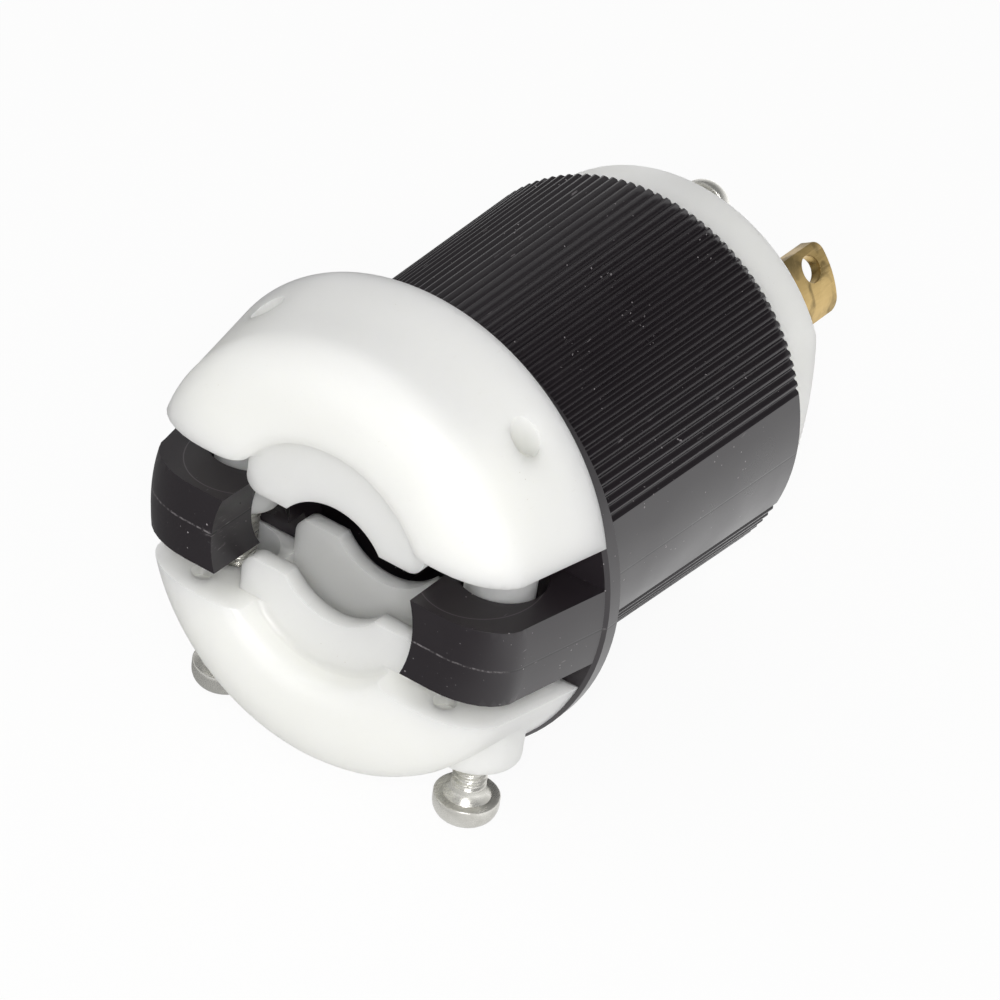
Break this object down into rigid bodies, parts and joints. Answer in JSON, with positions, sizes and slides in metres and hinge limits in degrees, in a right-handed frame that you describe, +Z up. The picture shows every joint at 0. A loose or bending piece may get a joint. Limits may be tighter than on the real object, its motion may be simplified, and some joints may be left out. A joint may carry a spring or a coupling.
{
  "type": "locking power plug",
  "caption": "Round locking power plug with curved blades, ribbed cover, white face and an open two-piece cord clamp drawn together by screws.",
  "frame": {"origin": "centre of the cord hole at the flange's rear face", "axes": "+Y along the plug towards the blades, tipped nose down by the rest angle of about 4.3 degrees; +Z up; +X to the right seen from behind the cord end"},
  "size_m": [0.057, 0.0942, 0.0601],
  "materials": {
    "black_nylon": "satin",
    "white_nylon": "satin",
    "dark_phenolic": "satin",
    "blade_brass": "satin",
    "wire_plate_brass": "satin",
    "screw_steel": "satin"
  },
  "bodies": {
    "plug": {"cover_shell": "black_nylon", "face_body": "white_nylon", "terminal_block": "dark_phenolic", "blade_line": "blade_brass", "blade_neutral": "blade_brass", "blade_ground": "blade_brass", "terminal_line": "wire_plate_brass", "terminal_neutral": "wire_plate_brass", "terminal_ground": "wire_plate_brass", "terminal_screw_line": "screw_steel", "terminal_screw_neutral": "screw_steel", "terminal_screw_ground": "screw_steel", "face_screw_upper": "screw_steel", "face_screw_lower": "screw_steel", "cover_insert_upper": "wire_plate_brass", "cover_insert_lower": "wire_plate_brass"},
    "upper_clamp": {"upper_clamp_half": "white_nylon"},
    "lower_clamp": {"lower_clamp_half": "white_nylon"},
    "left_clamp_screw": {"clamp_screw_left": "screw_steel"},
    "right_clamp_screw": {"clamp_screw_right": "screw_steel"}
  },
  "joints": [
    {"name": "clamp_screw_left_turn", "type": "hinge", "parent": "plug", "child": "left_clamp_screw", "pos_m": [-0.01765, -0.00578, 0.00044], "axis": [0, 0.0753, 0.9972], "range_deg": [0, 2450]},
    {"name": "clamp_screw_right_turn", "type": "hinge", "parent": "plug", "child": "right_clamp_screw", "pos_m": [0.01765, -0.00578, 0.00044], "axis": [0, 0.0753, 0.9972], "range_deg": [0, 2450]},
    {"name": "upper_clamp_slide", "type": "slide", "parent": "plug", "child": "upper_clamp", "axis": [0, 0.0753, 0.9972], "range_m": [-0.0054, 0]},
    {"name": "lower_clamp_slide", "type": "slide", "parent": "plug", "child": "lower_clamp", "axis": [0, 0.0753, 0.9972], "range_m": [0, 0.0035]}
  ],
  "couplings": [
    {"joint": "clamp_screw_left_turn", "follows": "upper_clamp_slide", "rad_per_m": -7915.8},
    {"joint": "clamp_screw_right_turn", "follows": "upper_clamp_slide", "rad_per_m": -7915.8}
  ]
}
